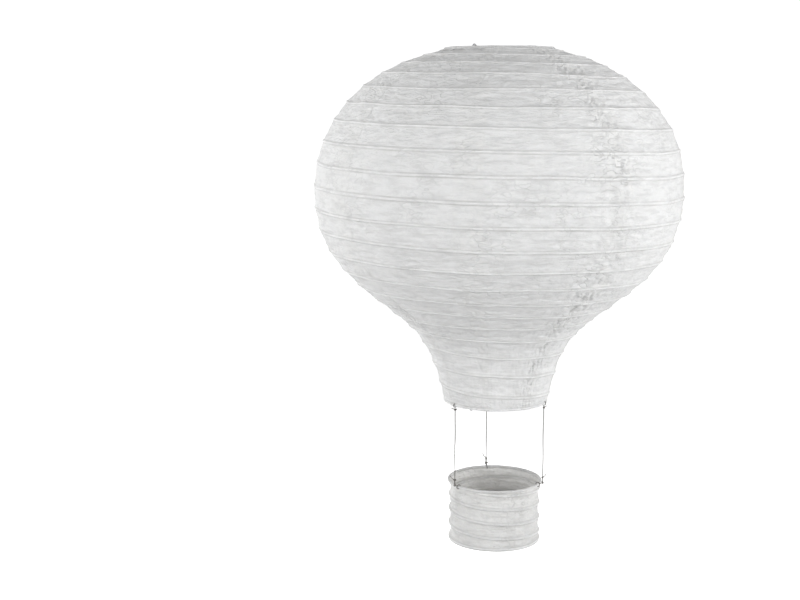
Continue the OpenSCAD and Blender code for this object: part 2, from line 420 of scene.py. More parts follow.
def paper_material(name, base, stain, fibre_tint, glow, depth):
    """Rice paper: long fibres in a cloudy ground, a little darker where it is doubled, with a painted
    highlight on the wire's crest and painted shade beside the wire, in the streaks' troughs and along the
    creases.
    """
    n = Nodes(name)
    clouds = n.remap(n.noise(34.0, 6.0, 0.62), 0.32, 0.68)
    ground = n.mix(clouds, tuple(0.945 * c for c in base), base)
    long_fibres = fibre_lines(n, 75.0, 0.012, 1.0, (1.0, 1.0, 1.5))
    cross_fibres = fibre_lines(n, 110.0, 0.014, 5.0, (1.0, 1.0, 0.7))
    sparse = n.remap(n.noise(45.0, 2.0, 0.5), 0.42, 0.6)
    long_shown = n.math("MULTIPLY", long_fibres, sparse)
    shown = n.math("MAXIMUM", long_shown, n.math("MULTIPLY", cross_fibres, 0.55))
    fibrous = n.mix(n.math("MULTIPLY", shown, 0.4), ground, fibre_tint)
    glued = n.math("MULTIPLY", n.mark("lap"), n.remap(n.noise(40.0, 3.0, 0.6), 0.3, 0.7, 0.12, 0.42))
    doubled = n.mix(glued, fibrous, tuple(c * s for c, s in zip(base, stain)))
    patchy = n.remap(n.noise(70.0, 3.0, 0.6), 0.35, 0.65, 0.35, 0.95)
    # Painted highlight: the paper along the rib's crest is painted near white, standing in for light caught
    # on the ridge and bounced back off the white wire behind it.
    crest_highlight = n.mix(n.math("MULTIPLY", n.mark("rib"), 0.75), doubled, (0.95, 0.95, 0.945))
    # Painted shade: a patchy dark line on each side of the rib, in the crease where the paper parts from the
    # wire.
    groove_shaded = n.mix(n.math("MULTIPLY", n.mark("groove_shade"), patchy), crest_highlight, (0.52, 0.515, 0.50))
    streaks, creases = crinkles(n)
    # Painted shade: the colour is pulled towards this darker grey in the low troughs of the streaks and
    # along the creases, the same places where the bumps below sink.
    shade_tone = tuple(0.72 * c for c in base)
    drawn = n.mix(n.remap(streaks, 0.56, 0.36, 0.0, 0.5), groove_shaded, shade_tone)
    shaded = n.mix(n.math("MULTIPLY", creases, 0.9), drawn, shade_tone)
    n.link(shaded, n.shader.inputs["Base Color"])
    n.link(n.remap(n.noise(120.0, 3.0), 0.3, 0.7, 0.62, 0.85), n.shader.inputs["Roughness"])
    grain = n.bump(n.noise(900.0, 3.0, 0.65), 0.00006, 0.7)
    lumps = n.bump(n.noise(210.0, 4.0, 0.6, (1.0, 1.0, 2.2)), 0.0007, 0.7, grain)
    relief = n.math("SUBTRACT", streaks, n.math("MULTIPLY", creases, 0.28))
    pressed = n.bump(relief, 0.0017, 1.0, lumps)
    n.link(n.bump(shown, 0.00006, 0.6, pressed), n.shader.inputs["Normal"])
    n.shader.inputs["Subsurface Weight"].default_value = glow
    n.shader.inputs["Subsurface Radius"].default_value = (1.0, 0.97, 0.93)
    n.shader.inputs["Subsurface Scale"].default_value = depth
    n.shader.inputs["Specular IOR Level"].default_value = 0.3
    return n.material


def wire_material(name, tone, metallic, scratch):
    """Wire: drawn lines, dull patches and a little grime."""
    n = Nodes(name)
    patches = n.remap(n.noise(160.0, 4.0, 0.6), 0.35, 0.65)
    n.link(n.mix(patches, tone, tuple(0.82 * c for c in tone)), n.shader.inputs["Base Color"])
    n.link(n.remap(n.noise(700.0, 3.0), 0.3, 0.7, 0.26, 0.46), n.shader.inputs["Roughness"])
    n.shader.inputs["Metallic"].default_value = metallic
    n.link(n.bump(n.noise(1500.0, 2.0, 0.6), 0.00003, scratch), n.shader.inputs["Normal"])
    return n.material


def thread_material(name, tone):
    """Cotton: fuzzy, with fine fibres across the twist."""
    n = Nodes(name)
    fibres = n.remap(n.noise(2600.0, 3.0, 0.7, (1.0, 1.0, 0.3)), 0.3, 0.7)
    n.link(n.mix(fibres, tuple(0.7 * c for c in tone), tone), n.shader.inputs["Base Color"])
    n.link(n.remap(fibres, 0.0, 1.0, 0.85, 0.97), n.shader.inputs["Roughness"])
    n.link(n.bump(fibres, 0.00005, 0.7), n.shader.inputs["Normal"])
    n.shader.inputs["Sheen Weight"].default_value = 0.08
    return n.material


PAPER = paper_material(
    "rice_paper", base=(0.83, 0.83, 0.825), stain=(0.95, 0.945, 0.925), fibre_tint=(0.90, 0.90, 0.89),
    glow=0.6, depth=0.00045,
)
BASKET_PAPER = paper_material(
    "basket_paper", base=(0.775, 0.77, 0.755), stain=(0.95, 0.94, 0.91), fibre_tint=(0.90, 0.89, 0.87),
    glow=0.8, depth=0.0006,
)
COATED = wire_material("coated_rib_wire", (0.86, 0.86, 0.85), 0.0, 0.3)
RING_STEEL = wire_material("ring_wire_steel", (0.50, 0.50, 0.50), 0.9, 0.4)
DRAWN = wire_material("drawn_steel", (0.56, 0.565, 0.57), 1.0, 0.5)
COTTON = thread_material("cotton_thread", (0.17, 0.165, 0.15))
KNOTTED = thread_material("knotted_cotton", (0.2, 0.19, 0.175))


# ---------------- shape of the balloon's paper

def bezier_line(corners, count):
    """Points along a cubic curve."""
    t = np.linspace(0.0, 1.0, count)[:, None]
    p = [np.array(c, float) for c in corners]
    return (1 - t) ** 3 * p[0] + 3 * (1 - t) ** 2 * t * p[1] + 3 * (1 - t) * t * t * p[2] + t**3 * p[3]


def meridian_line():
    """Radius and drop down the side of the balloon: crown, belly and neck, as shares of its sizes."""

    def fall(angle):
        return np.array([math.cos(math.radians(angle)), math.sin(math.radians(angle))])

    def lean(angle):
        return np.array([math.sin(math.radians(angle)), -math.cos(math.radians(angle))])

    wide = 2 * BALLOON_R
    top, neck = np.array([MOUTH_R, 0.0]), np.array([MOUTH_R, BALLOON_H])
    belt = np.array([BALLOON_R, 0.399 * BALLOON_H])
    waist = np.array([0.265 * wide, 0.758 * BALLOON_H])
    parts = (
        (top, top + 0.223 * wide * fall(12.0), belt - [0, 0.2125 * BALLOON_H], belt),
        (belt, belt + [0, 0.192 * BALLOON_H], waist + 0.13 * wide * lean(50.5), waist),
        (waist, waist - 0.1 * wide * lean(50.5), neck + 0.098 * BALLOON_H * lean(13.0), neck),
    )
    lines = [bezier_line(p, 241) for p in parts]
    return np.concatenate([lines[0], lines[1][1:], lines[2][1:]])


LINE = meridian_line()
RUNS = np.concatenate([[0.0], np.cumsum(np.linalg.norm(np.diff(LINE, axis=0), axis=1))])
FULL_RUN = RUNS[-1]
SLOPE = np.gradient(LINE, RUNS, axis=0)
SLOPE /= np.linalg.norm(SLOPE, axis=1)[:, None]
PITCH = (FULL_RUN - 2 * RIB_END_GAP) / RIB_TURNS


def meridian(s, out):
    """Radius and height at a run along the paper, moved out along the paper's normal."""
    r, drop = np.interp(s, RUNS, LINE[:, 0]), np.interp(s, RUNS, LINE[:, 1])
    dr, dd = np.interp(s, RUNS, SLOPE[:, 0]), np.interp(s, RUNS, SLOPE[:, 1])
    return r + out * dd, TOP_Z - drop + out * dr


def ridge(distance):
    """0 on a wire and 1 beside it, where the paper is pressed down along both sides of the wire."""
    return 1 - np.exp(-((distance / 1.0) ** 2))


def rib_highlight_and_shade(distance):
    """Masks for painted light along the rib: a painted highlight where the paper lies on the wire, and
    painted shade in the fine lines beside it where the two part.
    """
    return {"rib": np.exp(-((distance / 0.75) ** 2)), "groove_shade": np.exp(-(((distance - 1.25) / 0.45) ** 2))}


def crumpled(azimuth):
    """How crushed the paper is across the sheet: most along the front right lap."""
    off_lap, number = lap_distance(azimuth)
    laps = np.exp(-((off_lap / 6.0) ** 2)) * hashed(number.astype(np.int64), 3, 5)
    chain = np.exp(-((degrees_off(azimuth, CRUMPLED_LAP - 1.0) / 6.0) ** 2))
    return np.clip(0.22 * laps + 0.42 * chain, 0.0, 1.0)


def span_dip(s, low, high):
    """How far paper sinks between two supports, in millimetres: a tight ridge and a shallow sag."""
    half = np.maximum((high - low) / 2, 0.5)
    near = np.maximum(np.minimum(s - low, high - s), 0.0)
    share = np.clip(near / half, 0.0, 1.0)
    return RIDGE * ridge(near) + SAG * (half * 2 / PITCH) ** 1.5 * (1 - (1 - share) ** 2.2)


def supports(s, turn, first, last):
    """The supports above and below a run: the rings, and the rib's turns from first to last."""
    k = np.floor((s - RIB_END_GAP) / PITCH - turn)
    low = np.where(k >= first, RIB_END_GAP + PITCH * (np.minimum(k, last) + turn), 0.0)
    high = np.where(k + 1 <= last, RIB_END_GAP + PITCH * (np.maximum(k + 1, first) + turn), FULL_RUN)
    return low, high


def rib_distance(azimuth, s):
    """Distance along the paper to the nearest turn of the rib."""
    turn = ((azimuth - RIB_START) / 360.0) % 1.0
    last = np.where(turn <= RIB_TURNS % 1.0, int(RIB_TURNS), int(RIB_TURNS) - 1)
    low, high = supports(s, turn, 0, last)
    return np.minimum(s - low, high - s)


def dip(azimuth, s):
    """How far the paper sinks between the ribs. It eases over the rib's two free ends."""
    turn = ((azimuth - RIB_START) / 360.0) % 1.0
    whole, part = int(RIB_TURNS), RIB_TURNS % 1.0
    last = np.where(turn <= part, whole, whole - 1)
    usual = span_dip(s, *supports(s, turn, 0, last))
    without_first = span_dip(s, *supports(s, turn, 1, last))
    without_last = span_dip(s, *supports(s, turn, 0, np.full_like(s, whole - 1)))
    usual = usual + (without_first - usual) * (1 - smooth(turn / 0.045)) * (s < 2.2 * PITCH)
    closing = np.where(turn <= part, 1 - smooth((part - turn) / 0.045), 0.0)
    return usual + (without_last - usual) * closing * (s > FULL_RUN - 2.2 * PITCH)


def sway(azimuth, s):
    """The body's slow unevenness, which the wire follows."""
    ends = smooth(s / 45.0) * smooth((FULL_RUN - s) / 45.0)
    return ends * (0.9 * ripple(azimuth, s, 7, 75.0, 3) + 0.35 * ripple(azimuth, s, 17, 38.0, 4))


def wander(azimuth, s):
    """How far the hand-wound rib strays from its even pitch."""
    ends = smooth(s / 22.0) * smooth((FULL_RUN - s) / 22.0)
    return ends * (1.1 * ripple(azimuth, s, 5, 31.0, 11) + 0.75 * ripple(azimuth, s, 17, 17.0, 12))


def lap_distance(azimuth):
    """Degrees to the middle of the nearest lap, and that lap's number from 0."""
    place = ((azimuth - FIRST_LAP) / STEP) % GORES
    number = np.round(place) % GORES
    return np.abs(place - np.round(place)) * STEP, number


def make_folds():
    """Short folds where the paper was pinched: place, direction, half length, width and depth of each."""
    draw = np.random.RandomState(20)
    folds = []

    def scatter(count, centre, spread, low, high, depth, steep):
        for _ in range(count):
            azimuth = centre + spread * draw.uniform(-1.0, 1.0)
            turn = math.radians(draw.uniform(*steep)) * draw.choice([-1.0, 1.0])
            folds.append((
                azimuth % 360.0, draw.uniform(low, high), math.cos(turn), math.sin(turn),
                draw.uniform(3.0, 9.0), draw.uniform(0.7, 1.1),
                depth * draw.uniform(0.5, 1.0) * draw.choice([-1.0, 1.0, 1.0]),
            ))

    for lap in range(GORES):
        scatter(22, FIRST_LAP + lap * STEP, 7.0, 12.0, FULL_RUN - 45.0, 0.75, (25.0, 85.0))
    scatter(60, CRUMPLED_LAP - 0.5, 5.5, 25.0, 260.0, 0.95, (25.0, 88.0))
    scatter(260, 0.0, 180.0, 8.0, FULL_RUN - 12.0, 0.7, (0.0, 60.0))
    return np.array(folds)


FOLDS = make_folds()


def folded(azimuth, s):
    """Relief of the short folds: a crease with a raised lip along one side."""
    total = np.zeros_like(s)
    girth = np.interp(s, RUNS, LINE[:, 0]) * math.radians(1.0)
    for place, run, along_x, along_y, half, width, depth in FOLDS:
        across = degrees_off(azimuth, place) * girth
        down = s - run
        near = (np.abs(across) < half + 4.0) & (np.abs(down) < half + 4.0)
        if not near.any():
            continue
        x, y = across[near], down[near]
        along = (x * along_x + y * along_y) / half
        away = (y * along_x - x * along_y + 0.5 * np.sin(1.9 * along + place)) / width
        body = np.exp(-(along**4))
        total[near] += depth * body * (0.75 * np.exp(-0.5 * (away - 1.6) ** 2) - np.exp(-np.abs(away) * 1.2))
    return total


def wrinkles(azimuth, s):
    """Small relief of the paper between the ribs, in millimetres."""
    near_rib = rib_distance(azimuth, s)
    free = 1 - np.exp(-((near_rib / 2.3) ** 2))
    # Level streaks and soft lumps, stronger in some places than in others
    drift = 0.5 * ripple(azimuth, s, 20, 9.0, 25)
    streak = 0.34 * ripple(azimuth, s, 44, 3.3, 21, drift)
    sharp = 0.36 * (1 - 2.2 * np.abs(ripple(azimuth, s, 26, 4.6, 26, drift)))
    fine = 0.15 * ripple(azimuth, s, 150, 2.6, 22)
    lumps = 0.30 * ripple(azimuth, s, 74, 9.5, 23)
    where = 0.65 + 0.7 * ripple(azimuth, s, 15, 36.0, 27)
    # Crumples: along the laps, most of all at the front right one, and in patches
    off_lap, number = lap_distance(azimuth)
    along_lap = np.exp(-((off_lap / 6.5) ** 2)) * (0.35 + 0.65 * hashed(number.astype(np.int64), 3, 5))
    strong = np.exp(-((degrees_off(azimuth, CRUMPLED_LAP) / 8.0) ** 2))
    patches = smooth(ripple(azimuth, s, 13, 42.0, 31) * 1.6)
    crush = creased(azimuth, s, 84, 8.6, 41)
    crumple = -(0.30 + 0.42 * along_lap + 0.85 * strong + 0.36 * patches) * crush
    # Short pleats that start beside the rib
    pleat_sites = ripple(azimuth, s, 150, 26.0, 51)
    pleats = 0.36 * np.maximum(pleat_sites, 0.0) * np.exp(-((near_rib - 2.6) / 1.8) ** 2)
    relief = np.maximum(where, 0.3) * (streak + sharp) + fine + lumps + crumple + pleats
    return free * (relief + folded(azimuth, s))


def looseness(azimuth, s):
    """How slack the paper is from place to place, as a share of its usual dip."""
    return 1 + 0.28 * ripple(azimuth, s, 23, 20.0, 61)


def paper_out(azimuth, s):
    """How far the paper's outer face stands out from the CAD's face."""
    return sway(azimuth, s) - looseness(azimuth, s) * dip(azimuth, s) + wrinkles(azimuth, s)


def rib_out(azimuth, s):
    """The rib wire's centre, just under the paper."""
    return sway(azimuth, s) - SHEET - RIB_WIRE - OVER_WIRE


# ---------------- gores

COLUMN = 9.0 / 15.0  # degrees between a gore's columns, which two gores share at a lap
# Rows between two turns of the rib, as shares of the pitch: close together beside the rib
PHASES = np.array([
    0.0, 0.35, 0.7, 1.05, 1.45, 1.95, 2.7, 3.7, 5.0, 6.4, 7.8,
    9.2, 10.6, 12.0, 13.3, 14.4, 15.4, 16.2, 16.8, 17.25, 17.6, 17.95,
]) / 18.3


def hem_reach(azimuth):
    """1 where the hem wraps the ring fully, and small where it is snipped away for the expander's arms."""
    off = np.abs((azimuth - FRAME_AZIMUTH + 90.0) % 180.0 - 90.0)
    return 0.12 + 0.88 * smooth((off - 2.6) / 1.6)


def hem_points(azimuth, start, sweep, ring_z, lift):
    """Two grids of rows that wrap a ring from the angle start, and run on as a glued flap."""
    reach = hem_reach(azimuth)
    outer, inner = [], []
    sides = ((RING_WIRE + OVER_RING + SHEET + lift, outer), (RING_WIRE + OVER_RING + lift, inner))
    for share in np.linspace(0.0, 1.0, 13)[1:]:
        angle = np.radians(start + sweep * share * reach)
        for radius, rows in sides:
            rows.append(around_z(RING_R + radius * np.cos(angle), azimuth, ring_z + radius * np.sin(angle)))
    last = np.radians(start + sweep * reach)
    direction = np.radians(start + sweep * reach + math.copysign(90.0, sweep))
    for run in HEM_FLAP:
        close = smooth(run / 5.0) * (reach > 0.9)
        for radius, rows in sides:
            side_r = RING_R + (radius - close) * np.cos(last) + run * reach**6 * np.cos(direction)
            side_z = ring_z + (radius - close) * np.sin(last) + run * reach**6 * np.sin(direction)
            rows.append(around_z(side_r, azimuth, side_z))
    return outer, inner


def gore_runs(azimuth):
    """Runs of the rows of a gore, which follow the slope of the spiral rib."""
    turn = (azimuth - RIB_START) / 360.0
    levels = (np.arange(-1, 23)[:, None] + PHASES[None, :]).ravel() - 1.0
    grid = RIB_END_GAP + PITCH * (levels[:, None] + turn[None, :])
    inside = (grid.min(axis=1) > 0.9) & (grid.max(axis=1) < FULL_RUN - 0.9)
    grid = grid[inside]
    shares = np.array([0.0, 0.25, 0.5, 0.75])[:, None]
    first = grid[:1] * shares
    last = FULL_RUN - (FULL_RUN - grid[-1:]) * shares[::-1]
    return np.concatenate([first, grid, last])


def gore_piece(number):
    """One gore: a closed sheet from hem to hem, with odd gores lapped over even ones."""
    start = FIRST_LAP - LAP / 2 + (number - 1) * STEP
    azimuth = start + COLUMN * np.arange(int(round((STEP + LAP) / COLUMN)) + 1)
    base = gore_runs(azimuth)
    wide = np.broadcast_to(azimuth, base.shape)
    runs = np.clip(base + wander(wide, base), 0.0, FULL_RUN)
    over = number % 2 == 1
    edge = np.minimum(azimuth - azimuth[0], azimuth[-1] - azimuth)
    lift = LAP_LIFT * (1 - smooth((edge - LAP) / 2.4)) if over else np.zeros_like(edge)
    out = paper_out(wide, base) + lift
    # The last 7 mm rise over the top ring and close in under the neck ring
    top_rise = 0.9 * np.clip(1 - base / 7.0, 0.0, 1.0) ** 2
    neck_rise = -0.12 * np.clip(1 - (FULL_RUN - base) / 7.0, 0.0, 1.0) ** 2
    out = out + top_rise + neck_rise

    def grid(offset):
        r, z = meridian(runs, offset)
        return around_z(r, wide, z)

    top_outer, top_inner = hem_points(azimuth, 78.0, HEM_SWEEP, TOP_Z, lift)
    neck_outer, neck_inner = hem_points(azimuth, -13.0, -HEM_SWEEP, NECK_Z, lift)
    outer = np.concatenate([np.array(top_outer[::-1]), grid(out), np.array(neck_outer)])
    inner = np.concatenate([np.array(top_inner[::-1]), grid(out - SHEET), np.array(neck_inner)])
    hem = np.zeros((len(top_outer), len(azimuth)))
    near = rib_highlight_and_shade(rib_distance(wide, base))
    lap = np.broadcast_to((edge < LAP).astype(float), base.shape)
    marks = {key: np.concatenate([hem, value, hem]) for key, value in near.items()}
    marks["lap"] = np.concatenate([hem + lap[0], lap, hem + lap[0]])
    marks["crush"] = np.concatenate([hem, crumpled(wide), hem])
    piece = thin_sheet("paper_gore_%d" % number, outer, inner, PAPER, marks)
    stand_for(piece, "lantern", "gore_%d" % number)


for number in range(1, GORES + 1):
    gore_piece(number)


# ---------------- ribs and rings

def rib_wire_piece():
    """The balloon's one spiral wire, from under the top ring to above the neck ring."""
    w = np.linspace(0.0, RIB_TURNS, int(RIB_TURNS * 96) + 1)
    azimuth = RIB_START + 360.0 * w
    s = RIB_END_GAP + PITCH * w
    r, z = meridian(s + wander(azimuth, s), rib_out(azimuth, s))
    piece = tubes("rib_wire", [(around_z(r, azimuth, z), RIB_WIRE, 8, False)], COATED)
    stand_for(piece, "lantern", "rib_spiral")


rib_wire_piece()
for ring_name in ("top_ring", "neck_ring", "basket_rim", "basket_base_ring"):
    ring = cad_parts[ring_name]
    ring.data.materials.clear()
    ring.data.materials.append(RING_STEEL)


# ---------------- expander frame

def rounded(corners, radius, count=7):
    """A path through corner points, with each inner corner turned on a radius."""
    corners = [np.array(c, float) for c in corners]
    path = [corners[0]]
    for a, b, c in zip(corners, corners[1:], corners[2:]):
        before = (a - b) / np.linalg.norm(a - b)
        after = (c - b) / np.linalg.norm(c - b)
        reach = min(radius, 0.45 * np.linalg.norm(a - b), 0.45 * np.linalg.norm(c - b))
        start, end = b + before * reach, b + after * reach
        for t in np.linspace(0.0, 1.0, count):
            path.append((1 - t) ** 2 * start + 2 * t * (1 - t) * b + t * t * end)
    path.append(corners[-1])
    return path


def arc(centre, radius, start, sweep, count):
    """Points on an arc, from an angle in degrees through a sweep."""
    angle = np.radians(start + sweep * np.linspace(0.0, 1.0, count))
    return [np.array([centre[0] + radius * math.cos(a), centre[1] + radius * math.sin(a)]) for a in angle]


def frame_plane(path, across=0.0):
    """Points [along the arms, height] stood up in the expander's plane."""
    a = math.radians(FRAME_AZIMUTH)
    along, side = np.array([math.cos(a), math.sin(a), 0.0]), np.array([-math.sin(a), math.cos(a), 0.0])
    return [p[0] * along + across * side + np.array([0.0, 0.0, p[1]]) for p in path]


def bridge_path(tip):
    """From one hooked end over the shoulder, across the bar, and out to the other end."""
    half = []
    if tip > 0:
        half.append(np.array([RING_R + tip, -HOOK_R]))
    half += arc((RING_R, 0.0), HOOK_R, 270.0, -90.0, 9)
    half += arc((RING_R - 2 * HOOK_R, 0.0), HOOK_R, 0.0, 180.0, 17)[1:]
    bar = rounded([half[-1], (ARM_REACH, -ARM_DROP), (0.0, -ARM_DROP)], 3.5)[1:-1]
    right = half + bar
    left = [np.array([-p[0], p[1]]) for p in reversed(right)]
    return right + left


def bridge_piece(name, node, base_z, flip, tip, with_eye):
    """A bent wire that hooks over a ring at both ends. flip is -1 where it stands upside down."""
    path = frame_plane([(p[0], base_z + flip * p[1]) for p in bridge_path(tip)])
    parts = [(path, FRAME_WIRE, 14, False)]
    if with_eye:
        circle = arc((0.0, EYE_Z), EYE_R, 0.0, 360.0, 49)[:-1]
        parts.append((frame_plane(circle), FRAME_WIRE, 14, True))
        bar_z = base_z - ARM_DROP
        bead = ((-2.6, 0.5), (-1.3, 0.9), (0.0, 1.0), (1.3, 0.9), (2.6, 0.5))
        weld = [(along, bar_z + rise) for along, rise in bead]
        parts.append((frame_plane(weld), np.array([0.3, 0.85, 1.2, 0.9, 0.3]), 12, False))
    stand_for(tubes(name, parts, DRAWN), "lantern", node)


def leg_piece(name, node, side_sign):
    """An upright wire, welded to the side of both bridges and bowed a little."""
    low = NECK_Z + ARM_DROP - LEG_OVERRUN
    high = TOP_Z - ARM_DROP + LEG_OVERRUN
    across = side_sign * (2 * FRAME_WIRE - 0.1)
    at = side_sign * LEG_OFFSET
    heights = np.concatenate([[low, low + 0.3], np.linspace(low + 1.0, high - 1.0, 60), [high - 0.3, high]])
    radii = np.full(len(heights), FRAME_WIRE)
    radii[[0, -1]] = 0.62
    bow = 0.25 * np.sin(np.pi * (heights - low) / (high - low))
    path = frame_plane([(at + b, z) for b, z in zip(bow, heights)], across)
    parts = [(path, radii, 14, False)]
    for z in (TOP_Z - ARM_DROP, NECK_Z + ARM_DROP):
        weld = frame_plane([(at - 0.9, z), (at - 0.3, z), (at + 0.3, z), (at + 0.9, z)], across / 2)
        parts.append((weld, np.array([0.35, 0.8, 0.75, 0.3]), 10, False))
    stand_for(tubes(name, parts, DRAWN), "lantern", node)


bridge_piece("top_bridge_wire", "hanging_bridge", TOP_Z, 1.0, TIP_REACH, True)
bridge_piece("foot_bridge_wire", "foot_bridge", NECK_Z, -1.0, 0.0, False)
leg_piece("expander_wire_a", "expander_leg_a", 1)
leg_piece("expander_wire_b", "expander_leg_b", -1)


# ---------------- yarn, knots and threads

def resample(path, spacing):
    """The same path with points an even distance apart."""
    path = np.asarray(path, float)
    runs = np.concatenate([[0.0], np.cumsum(np.linalg.norm(np.diff(path, axis=0), axis=1))])
    count = max(int(round(runs[-1] / spacing)), 2)
    at = np.linspace(0.0, runs[-1], count + 1)
    return np.stack([np.interp(at, runs, path[:, i]) for i in range(3)], axis=1), at


def soft_path(corners):
    """A smooth path near its corner points, by cutting the corners three times."""
    path = np.asarray(corners, float)
    for _ in range(3):
        near = 0.75 * path[:-1] + 0.25 * path[1:]
        far = 0.25 * path[:-1] + 0.75 * path[1:]
        path = np.concatenate([path[:1], np.stack([near, far], axis=1).reshape(-1, 3), path[-1:]])
    return path


def plies(path, turns, across, upright, radius, closed):
    """Two plies wound round a path. turns is the twist at each point, in radians."""
    parts = []
    for ply in (0.0, math.pi):
        turn = turns + ply
        shift = across * np.cos(turn)[:, None] + upright * np.sin(turn)[:, None]
        parts.append((path + PLY_OFF * radius * shift, PLY_WIRE * radius, 6, closed))
    return parts


def yarn_parts(corners, radius=THREAD_WIRE, lay=2.4, smoothed=True):
    """Yarn along a path. lay is the length of one twist."""
    path, at = resample(soft_path(corners) if smoothed else corners, 0.2)
    normals, others = across_path(path)
    return plies(path, 2 * math.pi * at / lay, normals, others, radius, False)


def local_frame(azimuth, radius, z):
    """A function that turns (outward, sideways, up) about a place on a ring into points."""
    a = math.radians(azimuth)
    out, side = np.array([math.cos(a), math.sin(a), 0.0]), np.array([-math.sin(a), math.cos(a), 0.0])
    origin = radius * out + np.array([0.0, 0.0, z])
    return lambda points: [origin + p[0] * out + p[1] * side + np.array([0.0, 0.0, p[2]]) for p in points]


def overhand(scale, lean_turn):
    """An overhand knot's path about the origin, with its strands up and down."""
    t = np.linspace(0.0, 2 * math.pi, 41)[2:-2]
    x = np.sin(t) + 2 * np.sin(2 * t)
    y = np.cos(t) - 2 * np.cos(2 * t)
    z = -np.sin(3 * t)
    c, s = math.cos(lean_turn), math.sin(lean_turn)
    return np.stack([scale * (c * x - s * z), 1.3 * scale * (s * x + c * z), 0.8 * scale * y], axis=1)


def knot_parts(place, scale, lean_turn, z):
    """The yarn of one overhand knot, at a height above its place."""
    return yarn_parts(place(overhand(scale, lean_turn) + np.array([0.0, 0.0, z])), 0.42, 1.8, False)


def loop_round(radius):
    """A thread's loop about a ring's wire, in the plane out of the axis."""
    turn = np.radians(np.linspace(0.0, 360.0, 33)[:-1])
    return [(radius * math.cos(a), 0.25 * math.sin(a), radius * math.sin(a)) for a in turn]


def closed_yarn(points):
    """Yarn round a closed loop, with six twists."""
    path = np.asarray(points, float)
    out = path - path.mean(axis=0)
    out /= np.linalg.norm(out, axis=1)[:, None]
    plane = np.cross(out[0], out[len(out) // 4])
    plane /= np.linalg.norm(plane)
    return plies(path, 2 * math.pi * 6 * np.arange(len(path)) / len(path), out, plane, THREAD_WIRE, True)


def top_loop_piece(index, azimuth):
    """The loop of thread through the paper and round the neck ring."""
    place = local_frame(azimuth, RING_R, NECK_Z)
    piece = tubes("neck_loop_%d" % index, closed_yarn(place(loop_round(1.85))), COTTON)
    stand_for(piece, "lantern", "top_loop_%d" % index)


def top_knot_piece(index, azimuth):
    """A tight knot under the neck ring, with two short tails."""
    place = local_frame(azimuth, THREAD_R, TOP_PIVOT_Z)
    parts = knot_parts(place, 0.34, 0.5 + index, -0.25)
    side = 1.0 if index != 2 else -1.0
    long_tail = [(0.0, 0.2, 0.2), (0.8, 1.0 * side, 0.3), (1.2, 2.1 * side, 0.2), (1.5, 3.0 * side, 0.6)]
    short_tail = [(0.0, -0.2, 0.1), (0.8, -0.9 * side, 0.0), (1.5, -1.7 * side, -0.5)]
    parts += yarn_parts(place(long_tail), 0.34) + yarn_parts(place(short_tail), 0.34)
    piece = tubes("neck_knot_%d" % index, parts, KNOTTED)
    stand_for(piece, "top_knot_%d" % index, "top_knot_%d" % index)


def string_piece(index, azimuth):
    """One hanging thread, from knot to knot."""
    place = local_frame(azimuth, THREAD_R, 0.0)
    high, low = TOP_PIVOT_Z - 0.6, RIM_PIVOT_Z + 0.6
    heights = np.linspace(high, low, 61)
    share = (high - heights) / (high - low)
    swing = 0.22 * np.sin(math.pi * share * 3 + index) * np.sin(math.pi * share)
    path = place([(b, -0.6 * b, z) for b, z in zip(swing, heights)])
    piece = tubes("thread_%d" % index, yarn_parts(path, smoothed=False), COTTON)
    stand_for(piece, "string_%d" % index, "string_%d" % index)
    metres = [[float(x) * MM for x in p] for p in path]


def rim_knot_piece(index, azimuth):
    """Two knots one above the other, with a long tail and a short one."""
    place = local_frame(azimuth, THREAD_R, RIM_PIVOT_Z)
    parts = []
    for z, turn in ((2.4, 0.3), (-2.0, 1.4)):
        parts += knot_parts(place, 0.33, turn + index, z)
    for way in (1.0, -1.0):
        strand = [(0.2 * way, 0.25 * way, -1.6), (-0.1 * way, 0.35 * way, 0.0), (0.1 * way, 0.2 * way, 2.0)]
        parts += yarn_parts(place(strand), 0.36)
    side = {1: 0.4, 2: -1.0, 3: 1.0}[index]
    long_tail = [(0.1, 0.0, 2.5), (1.2, 0.9 * side, 3.2), (2.2, 2.0 * side, 4.4), (3.0, 2.6 * side, 6.0)]
    short_tail = [(0.0, 0.0, -2.0), (0.9, -1.3 * side, -2.4), (1.5, -2.6 * side, -1.6)]
    parts += yarn_parts(place(long_tail), 0.36) + yarn_parts(place(short_tail), 0.34)
    piece = tubes("rim_knots_%d" % index, parts, KNOTTED)
    body = "rim_knot_1" if index == 1 else "basket"
    stand_for(piece, body, "rim_knot_%d" % index)


def rim_loop_piece(index, azimuth):
    """The loop round the basket's rim, and the two strands that lean out to the knots."""
    place = local_frame(azimuth, RIM_R, RIM_Z)
    parts = closed_yarn(place(loop_round(1.75)))
    lean_out = THREAD_R - RIM_R
    for side in (-0.3, 0.3):
        bends = ((1.5, 0.9), (0.55 * lean_out, 1.2), (0.9 * lean_out, 1.6), (lean_out, 2.4))
        strand = [(out, side, rise) for out, rise in bends]
        parts += yarn_parts(place(strand), 0.36)
    piece = tubes("rim_loop_thread_%d" % index, parts, COTTON)
    stand_for(piece, "basket", "rim_loop_%d" % index)


for thread_index, thread_azimuth in enumerate(THREAD_AZIMUTHS, 1):
    top_loop_piece(thread_index, thread_azimuth)
    top_knot_piece(thread_index, thread_azimuth)
    string_piece(thread_index, thread_azimuth)
    rim_knot_piece(thread_index, thread_azimuth)
    rim_loop_piece(thread_index, thread_azimuth)


# ---------------- basket

BASKET_PITCH = (BASKET_RIB_HIGH - BASKET_RIB_LOW) / BASKET_TURNS
WALL_TOP = RIM_Z - 0.9
WALL_LOW = BASE_Z
WALL_SPLIT = BASE_RING_Z + RING_WIRE + 0.35
SEAM = 209.0
WALL_LAP = 11.0


